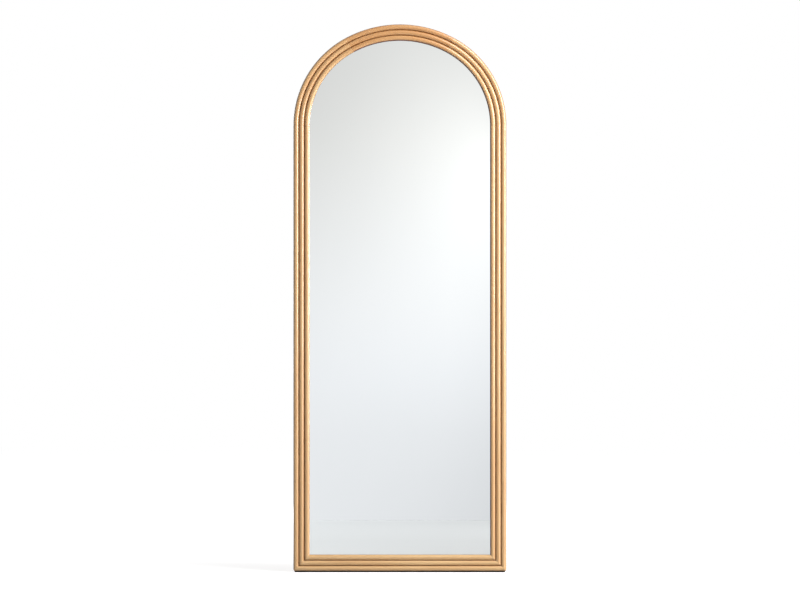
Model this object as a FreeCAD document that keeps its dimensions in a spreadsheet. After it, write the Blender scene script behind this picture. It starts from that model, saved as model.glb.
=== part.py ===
"""Arched leaning floor mirror: a reeded wooden frame, its mirror pane, its back and its hangers.

X runs across the mirror, Y from the front to the back and Z up. The origin lies on the floor, at the
middle of the width and of the whole depth. Lengths are in millimetres and angles in degrees.

The frame is one moulding all the way round. A place on it is given by how far it lies inward from the
outer edge and how far behind the crests of the reeds. The arch is a three-centred curve: a haunch of a
smaller radius springs from each stile, and a crown of a larger radius joins the two haunches.
"""
import FreeCAD, Part
import os
import Sketcher

Vector = FreeCAD.Vector

REEDS = 3                  # round reeds side by side across the moulding
STILE_SCREWS = 6           # screws down each side of the backing board
HAUNCH_SCREWS = 2          # screws round each haunch
CROWN_SCREWS = 2           # screws round the crown
RAIL_SCREWS = 3            # screws along the bottom
TAPES = 3                  # adhesive strips behind the pane
HANGER_SCREWS = 2          # screws in each hanger strap

DRIVING_SIZES = {
    # the whole mirror
    "overall_width": 711,
    "overall_height": 1829,
    "frame_depth": 32,           # crest of the reeds to the back of the wood
    # the arch
    "haunch_radius": 331,        # outer radius next to the stile
    "haunch_angle": 62,          # where the crown takes over, above the horizontal
    # the moulding
    "reed_pitch": 18,
    "groove_depth": 6.5,
    "seat_depth": 15,            # crest of the reeds to the face that the pane seats on
    "lip_width": 9,              # how far the front lip reaches over the pane's rebate
    "ledge_width": 22,           # sight edge to the outer wall of the board's rebate
    "corner_radius": 6,          # rounding of the two lower outer corners
    # joints inside the wood
    "dowel_radius": 4,
    "dowel_length": 40,
    "dowel_depth": 19,           # crest of the reeds to the dowels' centres
    "dowel_inset": 9,            # outer edge to the outer dowel
    "dowel_spacing": 15,
    "dowel_chamfer": 0.8,
    "spline_length": 30,         # along the mitre
    "spline_width": 20,          # across the mitre
    "spline_thickness": 4,
    "spline_depth": 14,          # crest of the reeds to the spline's middle
    "spline_inset": 24,          # outer edge to the spline's centre
    "glue_gap": 0.1,             # round each dowel and spline
    "end_gap": 1,                # past each end of a dowel, spline or screw
    # the pane and what holds it
    "pane_thickness": 4,
    "pane_clearance": 2,         # round the pane, in its rebate
    "pane_arris": 0.5,
    "block_length": 50,
    "tape_width": 25,
    "tape_thickness": 1.5,
    "tape_spacing": 200,
    "tape_end": 70,              # bottom of the pane to the strips' lower ends
    # the back
    "board_thickness": 6,
    "board_clearance": 1,        # round the board, in its rebate
    "stile_screw_end": 60,       # first and last side screw to the corner and to the spring line
    "rail_screw_spacing": 200,
    # round-headed wood screws
    "screw_radius": 1.75,
    "screw_length": 16,
    "screw_point": 4,
    "screw_head_radius": 3.5,
    "screw_head_height": 2.2,
    "screw_head_rim": 0.7,
    "recess_length": 3.6,
    "recess_width": 0.9,
    "recess_depth": 1.3,
    "pilot_gap": 0.05,           # radial, round a screw in the wood
    "through_gap": 0.25,         # radial, round a screw in the board or the strap
    # hangers on the stiles
    "hanger_drop": 60,           # spring line down to the ring's pin
    "strap_width": 16,
    "strap_length": 48,          # ring's pin to the strap's round end
    "strap_thickness": 1.2,
    "strap_lift": 0.4,           # under the rolled eye
    "strap_hole_end": 8,         # lower screw to the strap's round end
    "strap_hole_spacing": 16,
    "wire_radius": 1.5,
    "eye_gap": 0.06,             # radial, round the wire in the eye
    "ring_half_width": 11,       # to the middle of the wire
    "ring_side": 2.5,            # straight part of each side
    "ring_corner": 3,
    # pads
    "bumper_height": 6,
    "bumper_base_radius": 9,
    "bumper_face_radius": 7,
    "upper_bumper_angle": 38,    # on the haunch, above the horizontal
    "lower_bumper_rise": 130,    # floor to the lower bumpers' centres
    "floor_strip_height": 4,
    "floor_strip_inset": 4,      # from the two sides of the frame
    "floor_strip_setback": 4,    # from the crests and from the back of the wood
    "floor_strip_corner": 5,
}

doc = FreeCAD.newDocument("LeaningMirror")
sheet = doc.addObject("Spreadsheet::Sheet", "Sizes")
for row, (alias, number) in enumerate(DRIVING_SIZES.items(), start=1):
    sheet.set(f"A{row}", alias)
    sheet.set(f"B{row}", str(number))
    sheet.setAlias(f"B{row}", alias)
doc.recompute()

# Places worked out from the driving sizes, as expressions.
HALF_WIDTH = "(Sizes.overall_width / 2)"
FACE = f"({REEDS} * Sizes.reed_pitch)"
BASE = "Sizes.floor_strip_height"
FRONT = "(-(Sizes.frame_depth + Sizes.bumper_height) / 2)"
BACK = f"({FRONT} + Sizes.frame_depth)"
SEAT = f"({FRONT} + Sizes.seat_depth)"
PANE_BACK = f"({SEAT} + Sizes.pane_thickness)"
LEDGE = f"({PANE_BACK} + Sizes.tape_thickness)"
BOARD_BACK = f"({LEDGE} + Sizes.board_thickness)"

HAUNCH_OFFSET = f"({HALF_WIDTH} - Sizes.haunch_radius)"
CROWN_RADIUS = f"(Sizes.haunch_radius + {HAUNCH_OFFSET} / cos(Sizes.haunch_angle))"
CROWN_DROP = f"({HAUNCH_OFFSET} * tan(Sizes.haunch_angle))"
CROWN_CENTRE = f"(Sizes.overall_height - {CROWN_RADIUS})"
SPRING = f"({CROWN_CENTRE} + {CROWN_DROP})"

PANE_INSET = f"({FACE} - Sizes.lip_width + Sizes.pane_clearance)"
BOARD_INSET = f"({FACE} - Sizes.ledge_width + Sizes.board_clearance)"
SCREW_INSET = f"({FACE} - (Sizes.lip_width + Sizes.ledge_width) / 2)"
LAND_INSET = f"(({FACE} - Sizes.ledge_width) / 2)"
STRAP_BACK = f"({BACK} + Sizes.strap_thickness)"
PIN_HEIGHT = f"({SPRING} - Sizes.hanger_drop)"
EYE_RADIUS = "(Sizes.wire_radius + Sizes.eye_gap + Sizes.strap_thickness)"
PIN_Y = f"({BACK} + Sizes.strap_lift + {EYE_RADIUS})"

SIDES = {"left": -1, "right": 1}


def value(expression):
    """Work out an expression as a plain number."""
    return float(sheet.evalExpression(str(expression)))


def new_body(label):
    """Start a body under its own label."""
    body = doc.addObject("PartDesign::Body", label)
    body.Label = label
    return body


def new_sketch(body, role, name, shift=("0", "0", "0"), turn="0"):
    """Attach a sketch to one of the body's origin planes, shifted and turned about the plane's second axis."""
    plane = next(feature for feature in body.Origin.OriginFeatures if feature.Role == role)
    sketch = body.newObject("Sketcher::SketchObject", name)
    sketch.AttachmentSupport = [(plane, "")]
    sketch.MapMode = "FlatFace"
    place = Vector(*[value(part) for part in shift])
    sketch.AttachmentOffset = FreeCAD.Placement(place, FreeCAD.Rotation(Vector(0, 1, 0), value(turn)))
    for axis, part in zip("xyz", shift):
        sketch.setExpression(f"AttachmentOffset.Base.{axis}", part)
    if turn != "0":
        sketch.setExpression("AttachmentOffset.Rotation.Angle", turn)
    return sketch


def bind(sketch, kind, *where):
    """Add a constraint whose last argument is an expression, and bind it."""
    expression = where[-1]
    number = sketch.addConstraint(Sketcher.Constraint(kind, *where[:-1], value(expression)))
    sketch.setExpression(f"Constraints[{number}]", expression)


def pin(sketch, geometry, end, x, y):
    """Hold one point of a sketch at (x, y) from its origin."""
    bind(sketch, "DistanceX", -1, 1, geometry, end, x)
    bind(sketch, "DistanceY", -1, 1, geometry, end, y)


def arc_between(start, finish, radius, bulge):
    """Arc under a half circle from start to finish, bulging to the left (1) or the right (-1) of its chord."""
    chord = finish - start
    rise = radius - (radius ** 2 - (chord.Length / 2) ** 2) ** 0.5
    across = Vector(-chord.y, chord.x, 0).normalize()
    return Part.Arc(start, (start + finish) / 2 + across * rise * bulge, finish)


def outline(sketch, corners, arcs=None):
    """Draw a closed outline through its corners; arcs gives a side's (radius, bulge) by its number."""
    arcs = arcs or {}
    points = [Vector(value(x), value(y), 0) for x, y in corners]
    ends = []
    for side, start in enumerate(points):
        finish = points[(side + 1) % len(points)]
        if side in arcs:
            radius, bulge = arcs[side]
            geometry = sketch.addGeometry(arc_between(start, finish, value(radius), bulge))
            bind(sketch, "Radius", geometry, radius)
        else:
            geometry = sketch.addGeometry(Part.LineSegment(start, finish))
        to_start = sketch.getPoint(geometry, 1).distanceToPoint(start)
        to_finish = sketch.getPoint(geometry, 1).distanceToPoint(finish)
        ends.append((geometry, 1, 2) if to_start < to_finish else (geometry, 2, 1))
    for side, (geometry, first, _) in enumerate(ends):
        before, _, last = ends[side - 1]
        sketch.addConstraint(Sketcher.Constraint("Coincident", before, last, geometry, first))
        pin(sketch, geometry, first, *corners[side])


def circle(sketch, x, y, radius):
    """Draw a circle about (x, y)."""
    centre = Vector(value(x), value(y), 0)
    geometry = sketch.addGeometry(Part.Circle(centre, Vector(0, 0, 1), value(radius)))
    bind(sketch, "Radius", geometry, radius)
    pin(sketch, geometry, 3, x, y)


def axis_line(sketch, start, finish):
    """Draw the construction line that a revolution turns about."""
    ends = [Vector(value(x), value(y), 0) for x, y in (start, finish)]
    geometry = sketch.addGeometry(Part.LineSegment(*ends), True)
    pin(sketch, geometry, 1, *start)
    pin(sketch, geometry, 2, *finish)


def extrude(body, kind, name, sketch, length=None, middle=False, backward=False):
    """Pad or pocket a sketch; a pocket with no length goes right through both ways."""
    feature = body.newObject(f"PartDesign::{kind}", name)
    feature.Profile = sketch
    if length is None:
        feature.Type = "ThroughAll"
        feature.Midplane = True
    else:
        feature.setExpression("Length", length)
        feature.Midplane = middle
        feature.Reversed = backward
    return feature


# The moulding.

def moulding_section(place):
    """Corners and arcs of the moulding's section; place turns (inward, behind) into sketch coordinates."""
    groove = "Sizes.groove_depth"
    seat = "Sizes.seat_depth"
    ledge = "(Sizes.seat_depth + Sizes.pane_thickness + Sizes.tape_thickness)"
    pane_wall = f"({FACE} - Sizes.lip_width)"
    board_wall = f"({FACE} - Sizes.ledge_width)"
    crests = [(f"{reed} * Sizes.reed_pitch", groove) for reed in range(REEDS + 1)]
    rebates = [
        (FACE, seat),
        (pane_wall, seat),
        (pane_wall, ledge),
        (board_wall, ledge),
        (board_wall, "Sizes.frame_depth"),
        ("0", "Sizes.frame_depth"),
    ]
    return [place(inward, behind) for inward, behind in crests + rebates]


def reed_arcs(bulge):
    """One arc for each reed, through its two grooves and its crest."""
    radius = "((Sizes.groove_depth^2 + (Sizes.reed_pitch / 2)^2) / (2 * Sizes.groove_depth))"
    return {reed: (radius, bulge) for reed in range(REEDS)}


def stile_and_haunch_section(body, side, height):
    """Section of the moulding lying level, at the outer edge of one side."""
    def place(inward, behind):
        return f"{side} * ({HALF_WIDTH} - {inward})", f"{FRONT} + {behind}"

    sketch = new_sketch(body, "XY_Plane", "Moulding", ("0", "0", height))
    outline(sketch, moulding_section(place), reed_arcs(side))
    return sketch


# Cuts that two neighbours share, each worked out once and made in both.

def cut_mitre(body, side, member):
    """Cut a lower corner at 45 degrees and round its outer edge."""
    margin = "5"
    radius = "Sizes.corner_radius"
    halfway = f"{radius} * (1 - sqrt(0.5))"
    beyond = f"{FACE} + {margin}"
    corners = [
        ("0", radius),
        (halfway, halfway),
        (beyond, beyond),
        (beyond, f"-{margin}"),
        (f"-{margin}", f"-{margin}"),
        (f"-{margin}", radius),
    ]
    bulge = side
    if member == "rail":
        corners = [(rise, inward) for inward, rise in corners]
        bulge = -side
    places = [(f"{side} * ({HALF_WIDTH} - ({inward}))", f"{BASE} + {rise}") for inward, rise in corners]
    sketch = new_sketch(body, "XZ_Plane", "Mitre")
    outline(sketch, places, {0: (radius, bulge)})
    extrude(body, "Pocket", "MitreCut", sketch)


def spline_sketch(body, side, name, gap, end_gap):
    """Rectangle of the spline across the mitre, grown by a gap at its edges."""
    half_length = f"(Sizes.spline_length / 2 + {end_gap})"
    half_width = f"(Sizes.spline_width / 2 + {end_gap})"
    signs = ((-1, -1), (1, -1), (1, 1), (-1, 1))
    corners = []
    for along, across in signs:
        inward = f"Sizes.spline_inset + ({along} * {half_length} + {across} * {half_width}) * sqrt(0.5)"
        rise = f"Sizes.spline_inset + ({along} * {half_length} - {across} * {half_width}) * sqrt(0.5)"
        corners.append((f"{side} * ({HALF_WIDTH} - ({inward}))", f"{BASE} + {rise}"))
    sketch = new_sketch(body, "XZ_Plane", name, ("0", "0", f"-({FRONT} + Sizes.spline_depth)"))
    outline(sketch, corners)
    return sketch


def cut_spline_slot(body, side):
    """Slot for the spline in a mitred end."""
    sketch = spline_sketch(body, side, "Slot", "Sizes.glue_gap", "Sizes.end_gap")
    extrude(body, "Pocket", "SlotCut", sketch, "Sizes.spline_thickness + 2 * Sizes.glue_gap", middle=True)


def dowel_sketch(body, side, angle, name, gap):
    """Circles of a joint's two dowels, on the joint's plane at an angle round the haunch."""
    shift = (f"{side} * {HAUNCH_OFFSET}", "0", SPRING)
    sketch = new_sketch(body, "XY_Plane", name, shift, f"{-side} * {angle}")
    for dowel in range(2):
        inward = f"(Sizes.dowel_inset + {dowel} * Sizes.dowel_spacing)"
        x = f"{side} * (Sizes.haunch_radius - {inward})"
        circle(sketch, x, f"{FRONT} + Sizes.dowel_depth", f"Sizes.dowel_radius + {gap}")
    return sketch


def cut_dowel_holes(body, side, angle):
    """Blind holes for a joint's dowels."""
    sketch = dowel_sketch(body, side, angle, "Sockets", "Sizes.glue_gap")
    extrude(body, "Pocket", "SocketCut", sketch, "Sizes.dowel_length + 2 * Sizes.end_gap", middle=True)


def cut_pilot_holes(body, places, name, face, through):
    """Blind holes for wood screws, from a face that looks to the back; through is what they pass first."""
    sketch = new_sketch(body, "XZ_Plane", name, ("0", "0", f"-({face})"))
    for x, z in places:
        circle(sketch, x, z, "Sizes.screw_radius + Sizes.pilot_gap")
    length = f"Sizes.screw_length - {through} + Sizes.end_gap"
    extrude(body, "Pocket", f"{name}Cut", sketch, length, backward=True)


# Where the screws go.

def stile_screws(side):
    """Places down one side of the board, evenly from the corner to the spring line."""
    x = f"{side} * ({HALF_WIDTH} - {SCREW_INSET})"
    low = f"({BASE} + {FACE} + Sizes.stile_screw_end)"
    high = f"({SPRING} - Sizes.stile_screw_end)"
    steps = STILE_SCREWS - 1
    return [(x, f"{low} + ({high} - {low}) * {step} / {steps}") for step in range(STILE_SCREWS)]


def haunch_screws(side):
    """Places round one haunch, in the middles of equal shares of its angle."""
    radius = f"(Sizes.haunch_radius - {SCREW_INSET})"
    places = []
    for step in range(HAUNCH_SCREWS):
        angle = f"(Sizes.haunch_angle * {(step + 0.5) / HAUNCH_SCREWS})"
        x = f"{side} * ({HAUNCH_OFFSET} + {radius} * cos({angle}))"
        places.append((x, f"{SPRING} + {radius} * sin({angle})"))
    return places


def crown_screws():
    """Places round the crown, in the middles of equal shares of its angle."""
    radius = f"({CROWN_RADIUS} - {SCREW_INSET})"
    places = []
    for step in range(CROWN_SCREWS):
        share = 2 * (step + 0.5) / CROWN_SCREWS - 1
        angle = f"((90 - Sizes.haunch_angle) * {share})"
        places.append((f"{radius} * sin({angle})", f"{CROWN_CENTRE} + {radius} * cos({angle})"))
    return places


def rail_screws():
    """Places along the bottom, about the middle."""
    middle = (RAIL_SCREWS - 1) / 2
    z = f"{BASE} + {SCREW_INSET}"
    return [(f"{step - middle} * Sizes.rail_screw_spacing", z) for step in range(RAIL_SCREWS)]


def strap_screws(side):
    """Places in one hanger strap, one above the other."""
    x = f"{side} * ({HALF_WIDTH} - {LAND_INSET})"
    low = f"{PIN_HEIGHT} - Sizes.strap_length + Sizes.strap_hole_end"
    return [(x, f"{low} + {step} * Sizes.strap_hole_spacing") for step in range(HANGER_SCREWS)]


# Members of the frame.

def stile(name, side):
    """Straight side from the mitre up to the spring line."""
    body = new_body(f"stile_{name}")
    sketch = stile_and_haunch_section(body, side, BASE)
    extrude(body, "Pad", "Length", sketch, f"{SPRING} - {BASE}")
    cut_mitre(body, side, "stile")
    cut_spline_slot(body, side)
    cut_dowel_holes(body, side, "0")
    cut_pilot_holes(body, stile_screws(side), "BoardPilots", LEDGE, "Sizes.board_thickness")
    cut_pilot_holes(body, strap_screws(side), "StrapPilots", BACK, "Sizes.strap_thickness")
    return body


def haunch(name, side):
    """Curved shoulder from the spring line up to the crown."""
    body = new_body(f"haunch_{name}")
    sketch = stile_and_haunch_section(body, side, SPRING)
    centre = f"{side} * {HAUNCH_OFFSET}"
    axis_line(sketch, (centre, FRONT), (centre, BACK))
    turn = body.newObject("PartDesign::Revolution", "Bend")
    turn.Profile = sketch
    turn.ReferenceAxis = (sketch, ["Axis0"])
    turn.setExpression("Angle", "Sizes.haunch_angle")
    turn.Reversed = side > 0
    cut_dowel_holes(body, side, "0")
    cut_dowel_holes(body, side, "Sizes.haunch_angle")
    cut_pilot_holes(body, haunch_screws(side), "BoardPilots", LEDGE, "Sizes.board_thickness")
    return body


def crown():
    """Top of the arch, between the two haunches."""
    def place(inward, behind):
        return f"{FRONT} + {behind}", f"Sizes.overall_height - {inward}"

    body = new_body("crown")
    sketch = new_sketch(body, "YZ_Plane", "Moulding")
    outline(sketch, moulding_section(place), reed_arcs(-1))
    axis_line(sketch, (FRONT, CROWN_CENTRE), (BACK, CROWN_CENTRE))
    turn = body.newObject("PartDesign::Revolution", "Bend")
    turn.Profile = sketch
    turn.ReferenceAxis = (sketch, ["Axis0"])
    turn.setExpression("Angle", "2 * (90 - Sizes.haunch_angle)")
    turn.Midplane = True
    for side in SIDES.values():
        cut_dowel_holes(body, side, "Sizes.haunch_angle")
    cut_pilot_holes(body, crown_screws(), "BoardPilots", LEDGE, "Sizes.board_thickness")
    return body


def bottom_rail():
    """Straight bottom between the two mitres."""
    def place(inward, behind):
        return f"{FRONT} + {behind}", f"{BASE} + {inward}"

    body = new_body("bottom_rail")
    sketch = new_sketch(body, "YZ_Plane", "Moulding")
    outline(sketch, moulding_section(place), reed_arcs(1))
    extrude(body, "Pad", "Length", sketch, "Sizes.overall_width", middle=True)
    for side in SIDES.values():
        cut_mitre(body, side, "rail")
        cut_spline_slot(body, side)
    cut_pilot_holes(body, rail_screws(), "BoardPilots", LEDGE, "Sizes.board_thickness")
    return body


def dowel_pair(label, side, angle):
    """The two dowels of one joint, chamfered at their ends."""
    body = new_body(label)
    sketch = dowel_sketch(body, side, angle, "Ends", "0")
    rods = extrude(body, "Pad", "Rods", sketch, "Sizes.dowel_length", middle=True)
    doc.recompute()
    chamfer = body.newObject("PartDesign::Chamfer", "EndChamfers")
    chamfer.Base = (rods, [])
    chamfer.UseAllEdges = True
    chamfer.setExpression("Size", "Sizes.dowel_chamfer")
    return body


def corner_spline(name, side):
    """Flat tongue glued across a mitre."""
    body = new_body(f"corner_spline_{name}")
    sketch = spline_sketch(body, side, "Tongue", "0", "0")
    extrude(body, "Pad", "Thickness", sketch, "Sizes.spline_thickness", middle=True)
    return body


# The pane and the back.

def arched_outline(sketch, inset):
    """Outline that follows the frame at a steady distance inside its outer edge."""
    side_x = f"({HALF_WIDTH} - {inset})"
    haunch_radius = f"(Sizes.haunch_radius - {inset})"
    crown_radius = f"({CROWN_RADIUS} - {inset})"
    shoulder_x = f"({crown_radius} * cos(Sizes.haunch_angle))"
    shoulder_z = f"{CROWN_CENTRE} + {crown_radius} * sin(Sizes.haunch_angle)"
    corners = [
        (f"-{side_x}", f"{BASE} + {inset}"),
        (side_x, f"{BASE} + {inset}"),
        (side_x, SPRING),
        (shoulder_x, shoulder_z),
        (f"-{shoulder_x}", shoulder_z),
        (f"-{side_x}", SPRING),
    ]
    outline(sketch, corners, {2: (haunch_radius, -1), 3: (crown_radius, -1), 4: (haunch_radius, -1)})


def mirror_pane():
    """Silvered glass with a fine arris all round."""
    body = new_body("mirror_pane")
    sketch = new_sketch(body, "XZ_Plane", "Arch", ("0", "0", f"-{SEAT}"))
    arched_outline(sketch, PANE_INSET)
    glass = extrude(body, "Pad", "Thickness", sketch, "Sizes.pane_thickness", backward=True)
    doc.recompute()
    arris = body.newObject("PartDesign::Chamfer", "Arris")
    arris.Base = (glass, [])
    arris.UseAllEdges = True
    arris.setExpression("Size", "Sizes.pane_arris")
    return body


def box(label, length, width, height, x, y, z):
    """Box with its low corner at (x, y, z)."""
    block = doc.addObject("Part::Box", label)
    block.Label = label
    for name, expression in (("Length", length), ("Width", width), ("Height", height)):
        block.setExpression(name, expression)
    for axis, expression in zip("xyz", (x, y, z)):
        block.setExpression(f"Placement.Base.{axis}", expression)
    return block


def setting_block(name, side):
    """Rubber block that carries the pane's lower edge, a quarter of the way in."""
    length = "Sizes.block_length"
    x = f"{side} * ({HALF_WIDTH} - {FACE}) / 2 - {length} / 2"
    z = f"{BASE} + {FACE} - Sizes.lip_width"
    return box(f"setting_block_{name}", length, "Sizes.pane_thickness", "Sizes.pane_clearance", x, SEAT, z)


def mounting_tapes():
    """Upright adhesive foam strips between the pane and the board."""
    low = f"{BASE} + {PANE_INSET} + Sizes.tape_end"
    middle = (TAPES - 1) / 2
    tapes = []
    for number in range(TAPES):
        x = f"{number - middle} * Sizes.tape_spacing - Sizes.tape_width / 2"
        sizes = ("Sizes.tape_width", "Sizes.tape_thickness", f"{SPRING} - ({low})")
        tapes.append(box(f"mounting_tape_{number + 1}", *sizes, x, PANE_BACK, low))
    return tapes


def board_screw_places():
    """Every place where a screw holds the board."""
    sides = [place for side in SIDES.values() for place in stile_screws(side) + haunch_screws(side)]
    return sides + crown_screws() + rail_screws()


def backing_board():
    """Board that closes the back, with a clearance hole for each screw."""
    body = new_body("backing_board")
    sketch = new_sketch(body, "XZ_Plane", "Arch", ("0", "0", f"-{LEDGE}"))
    arched_outline(sketch, BOARD_INSET)
    for x, z in board_screw_places():
        circle(sketch, x, z, "Sizes.screw_radius + Sizes.through_gap")
    extrude(body, "Pad", "Thickness", sketch, "Sizes.board_thickness", backward=True)
    return body


# Screws: one pattern, turned once, repeated wherever a screw goes.

def screw_pattern():
    """Blank and cross recess of a round-headed screw along Y, with the head's underside at the origin."""
    profile = doc.addObject("Sketcher::SketchObject", "ScrewProfile")
    shank = "Sizes.screw_radius"
    tip = "-Sizes.screw_length"
    rise = "(Sizes.screw_head_height - Sizes.screw_head_rim)"
    dome = f"((Sizes.screw_head_radius^2 + {rise}^2) / (2 * {rise}))"
    corners = [
        ("0", tip),
        (shank, f"{tip} + Sizes.screw_point"),
        (shank, "0"),
        ("Sizes.screw_head_radius", "0"),
        ("Sizes.screw_head_radius", "Sizes.screw_head_rim"),
        ("0", "Sizes.screw_head_height"),
    ]
    outline(profile, corners, {4: (dome, -1)})
    blank = doc.addObject("Part::Revolution", "ScrewBlank")
    blank.Source = profile
    blank.Axis = Vector(0, 1, 0)
    blank.Angle = 360
    blank.Solid = True
    arms = []
    for number, (length, height) in enumerate((("length", "width"), ("width", "length"))):
        size_x = f"Sizes.recess_{length}"
        size_z = f"Sizes.recess_{height}"
        floor = "Sizes.screw_head_height - Sizes.recess_depth"
        arm = box(f"RecessArm{number}", size_x, "Sizes.screw_head_height", size_z,
                  f"-{size_x} / 2", floor, f"-{size_z} / 2")
        arms.append(arm)
    recess = doc.addObject("Part::MultiFuse", "ScrewRecess")
    recess.Shapes = arms
    return blank, recess


def screw_group(label, pattern, places, face):
    """Screws whose heads bear on a face, as one group of separate solids."""
    blank, recess = pattern
    screws = []
    for number, (x, z) in enumerate(places):
        screw = doc.addObject("Part::Cut", f"{label}_{number}")
        screw.Base = blank
        screw.Tool = recess
        for axis, expression in zip("xyz", (x, face, z)):
            screw.setExpression(f"Placement.Base.{axis}", expression)
        screws.append(screw)
    group = doc.addObject("Part::Compound", label)
    group.Label = label
    group.Links = screws
    return group


# Hangers: a strap with a rolled eye on each stile, and a loose ring through the eye.

def hanger_strap(name, side):
    """Steel strap with a rolled eye at its top and two screw holes below."""
    body = new_body(f"hanger_strap_{name}")
    centre = f"{side} * ({HALF_WIDTH} - {LAND_INSET})"
    half = "Sizes.strap_width / 2"
    low = f"({PIN_HEIGHT} - Sizes.strap_length)"
    corners = [
        (f"{centre} - {half}", PIN_HEIGHT),
        (f"{centre} - {half}", f"{low} + {half}"),
        (centre, low),
        (f"{centre} + {half}", f"{low} + {half}"),
        (f"{centre} + {half}", PIN_HEIGHT),
    ]
    plate = new_sketch(body, "XZ_Plane", "Plate", ("0", "0", f"-{BACK}"))
    outline(plate, corners, {1: (half, -1), 2: (half, -1)})
    for x, z in strap_screws(side):
        circle(plate, x, z, "Sizes.screw_radius + Sizes.through_gap")
    extrude(body, "Pad", "Thickness", plate, "Sizes.strap_thickness", backward=True)
    roll = new_sketch(body, "YZ_Plane", "Roll", ("0", "0", centre))
    circle(roll, PIN_Y, PIN_HEIGHT, EYE_RADIUS)
    extrude(body, "Pad", "Eye", roll, "Sizes.strap_width", middle=True)
    bore = new_sketch(body, "YZ_Plane", "Bore", ("0", "0", centre))
    circle(bore, PIN_Y, PIN_HEIGHT, "Sizes.wire_radius + Sizes.eye_gap")
    extrude(body, "Pocket", "BoreCut", bore)
    return body


def hanger_ring(name, side):
    """D-shaped ring of round wire, hanging from the strap's eye."""
    body = new_body(f"hanger_ring_{name}")
    centre = f"{side} * ({HALF_WIDTH} - {LAND_INSET})"
    half = "Sizes.ring_half_width"
    corner = "Sizes.ring_corner"
    bar = f"({half} - {corner})"
    shoulder = f"({PIN_HEIGHT} - {corner})"
    hip = f"({shoulder} - Sizes.ring_side)"
    corners = [
        (f"{centre} - {bar}", PIN_HEIGHT),
        (f"{centre} + {bar}", PIN_HEIGHT),
        (f"{centre} + {half}", shoulder),
        (f"{centre} + {half}", hip),
        (centre, f"{hip} - {half}"),
        (f"{centre} - {half}", hip),
        (f"{centre} - {half}", shoulder),
    ]
    route = new_sketch(body, "XZ_Plane", "Route", ("0", "0", f"-{PIN_Y}"))
    outline(route, corners, {1: (corner, 1), 3: (half, 1), 4: (half, 1), 6: (corner, 1)})
    wire = new_sketch(body, "YZ_Plane", "Wire", ("0", "0", centre))
    circle(wire, PIN_Y, PIN_HEIGHT, "Sizes.wire_radius")
    doc.recompute()
    ring = body.newObject("PartDesign::AdditivePipe", "Ring")
    ring.Profile = wire
    ring.Spine = (route, [])
    return body


# Pads.

def bumper(label, x, z):
    """Tapered rubber pad on the back of the frame."""
    pad = doc.addObject("Part::Cone", label)
    pad.Label = label
    pad.Placement = FreeCAD.Placement(Vector(), FreeCAD.Rotation(Vector(1, 0, 0), -90))
    pad.setExpression("Radius1", "Sizes.bumper_base_radius")
    pad.setExpression("Radius2", "Sizes.bumper_face_radius")
    pad.setExpression("Height", "Sizes.bumper_height")
    for axis, expression in zip("xyz", (x, BACK, z)):
        pad.setExpression(f"Placement.Base.{axis}", expression)
    return pad


def bumpers():
    """One pad on each haunch and one low on each stile, in the middle of the land."""
    pads = []
    radius = f"(Sizes.haunch_radius - {LAND_INSET})"
    for name, side in SIDES.items():
        upper_x = f"{side} * ({HAUNCH_OFFSET} + {radius} * cos(Sizes.upper_bumper_angle))"
        upper_z = f"{SPRING} + {radius} * sin(Sizes.upper_bumper_angle)"
        pads.append(bumper(f"bumper_upper_{name}", upper_x, upper_z))
        lower_x = f"{side} * ({HALF_WIDTH} - {LAND_INSET})"
        pads.append(bumper(f"bumper_lower_{name}", lower_x, "Sizes.lower_bumper_rise"))
    return pads


def floor_strip():
    """Dark rubber strip under the whole bottom rail, a little in from its edges."""
    body = new_body("floor_strip")
    radius = "Sizes.floor_strip_corner"
    x = f"({HALF_WIDTH} - Sizes.floor_strip_inset)"
    near = f"({FRONT} + Sizes.floor_strip_setback)"
    far = f"({BACK} - Sizes.floor_strip_setback)"
    corners = [
        (f"-{x} + {radius}", near),
        (f"{x} - {radius}", near),
        (x, f"{near} + {radius}"),
        (x, f"{far} - {radius}"),
        (f"{x} - {radius}", far),
        (f"-{x} + {radius}", far),
        (f"-{x}", f"{far} - {radius}"),
        (f"-{x}", f"{near} + {radius}"),
    ]
    sketch = new_sketch(body, "XY_Plane", "Strip")
    outline(sketch, corners, {side: (radius, -1) for side in (1, 3, 5, 7)})
    extrude(body, "Pad", "Thickness", sketch, "Sizes.floor_strip_height")
    return body


def build():
    """Make every piece of the mirror."""
    pieces = [crown(), bottom_rail(), mirror_pane(), backing_board(), floor_strip()]
    pattern = screw_pattern()
    for name, side in SIDES.items():
        pieces += [stile(name, side), haunch(name, side), corner_spline(name, side)]
        pieces.append(dowel_pair(f"spring_dowels_{name}", side, "0"))
        pieces.append(dowel_pair(f"crown_dowels_{name}", side, "Sizes.haunch_angle"))
        pieces += [setting_block(name, side), hanger_strap(name, side), hanger_ring(name, side)]
        pieces.append(screw_group(f"hanger_screws_{name}", pattern, strap_screws(side), STRAP_BACK))
    pieces += mounting_tapes() + bumpers()
    pieces.append(screw_group("backing_screws", pattern, board_screw_places(), BOARD_BACK))
    return pieces


def check(pieces):
    """Stop if any feature failed or any piece is empty or broken."""
    for feature in doc.Objects:
        if {"Invalid", "Error"} & set(feature.State):
            raise RuntimeError(f"{feature.Label} failed: {feature.State}")
    for piece in pieces:
        if piece.Shape.isNull() or not piece.Shape.isValid() or not piece.Shape.Solids:
            raise RuntimeError(f"{piece.Label} has no sound shape")


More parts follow.
